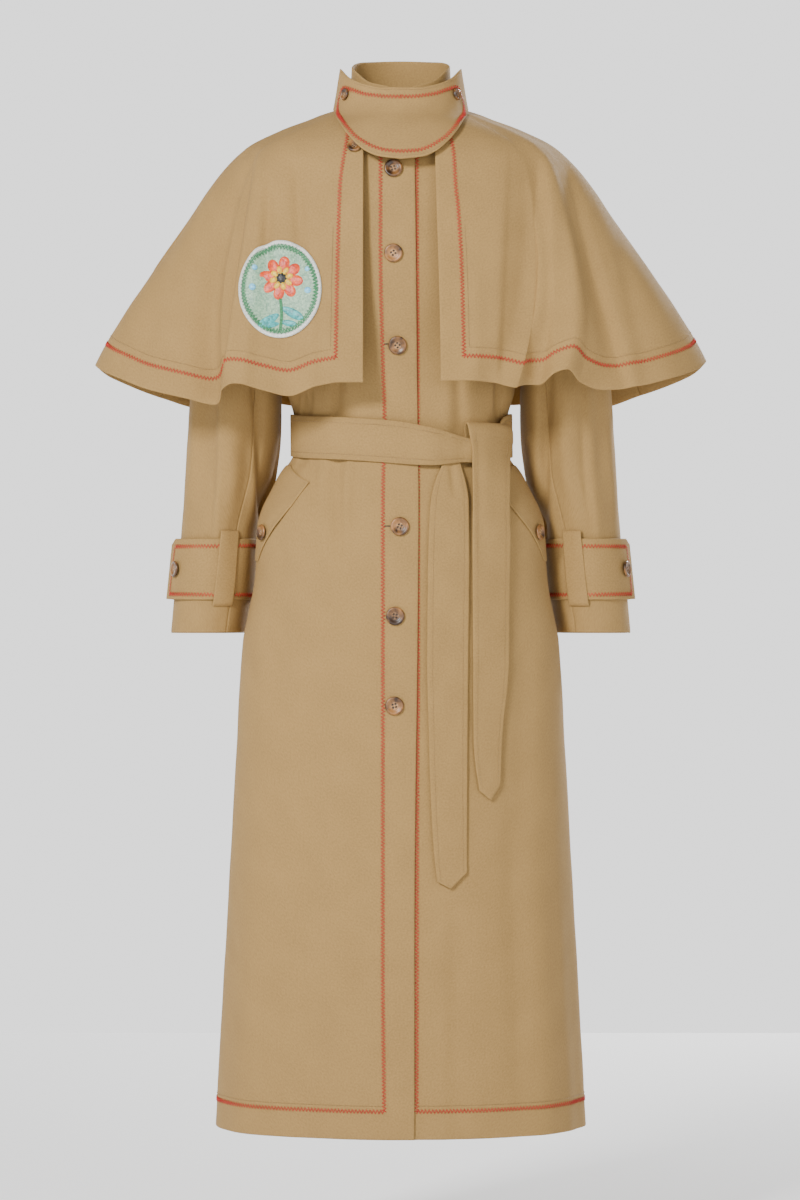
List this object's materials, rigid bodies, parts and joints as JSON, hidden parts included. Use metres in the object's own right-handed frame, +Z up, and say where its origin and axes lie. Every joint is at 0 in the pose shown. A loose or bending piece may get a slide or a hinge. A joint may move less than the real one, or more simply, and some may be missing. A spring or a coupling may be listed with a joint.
{
  "type": "cape coat",
  "caption": "Long belted cotton coat with a stand collar, throat tab and buttoned shoulder cape, held open as if worn.",
  "frame": {"origin": "middle of the base of the neck, where the wearer's shoulders carry the coat", "axes": "+Z up the wearer's back, -Y out of the front, +X to the wearer's left"},
  "size_m": [0.758, 0.3066, 1.3261],
  "materials": {
    "gabardine": "matt tan cotton twill",
    "thread": "coral red sewing thread",
    "badge": "embroidered applique",
    "horn": "marbled brown horn effect"
  },
  "bodies": {
    "root": {"front_right": "gabardine", "front_left": "gabardine", "back": "gabardine", "sleeve_top_R": "gabardine", "sleeve_under_R": "gabardine", "sleeve_top_L": "gabardine", "sleeve_under_L": "gabardine", "cuff_strap_R": "gabardine", "cuff_strap_L": "gabardine", "cuff_loop_R": "gabardine", "cuff_loop_L": "gabardine", "collar": "gabardine", "throat_tab": "gabardine", "cape_front_R": "gabardine", "cape_front_L": "gabardine", "cape_back": "gabardine", "belt_band": "gabardine", "belt_end_A": "gabardine", "belt_end_B": "gabardine", "pocket_welt_R": "gabardine", "pocket_welt_L": "gabardine", "patch": "badge", "front_button_1": "horn", "front_button_2": "horn", "front_button_3": "horn", "front_button_4": "horn", "front_button_5": "horn", "front_button_6": "horn", "tab_button_R": "horn", "tab_button_L": "horn", "cape_button": "horn", "cuff_button_R": "horn", "cuff_button_L": "horn", "pocket_button_R": "horn", "pocket_button_L": "horn"}
  },
  "joints": []
}
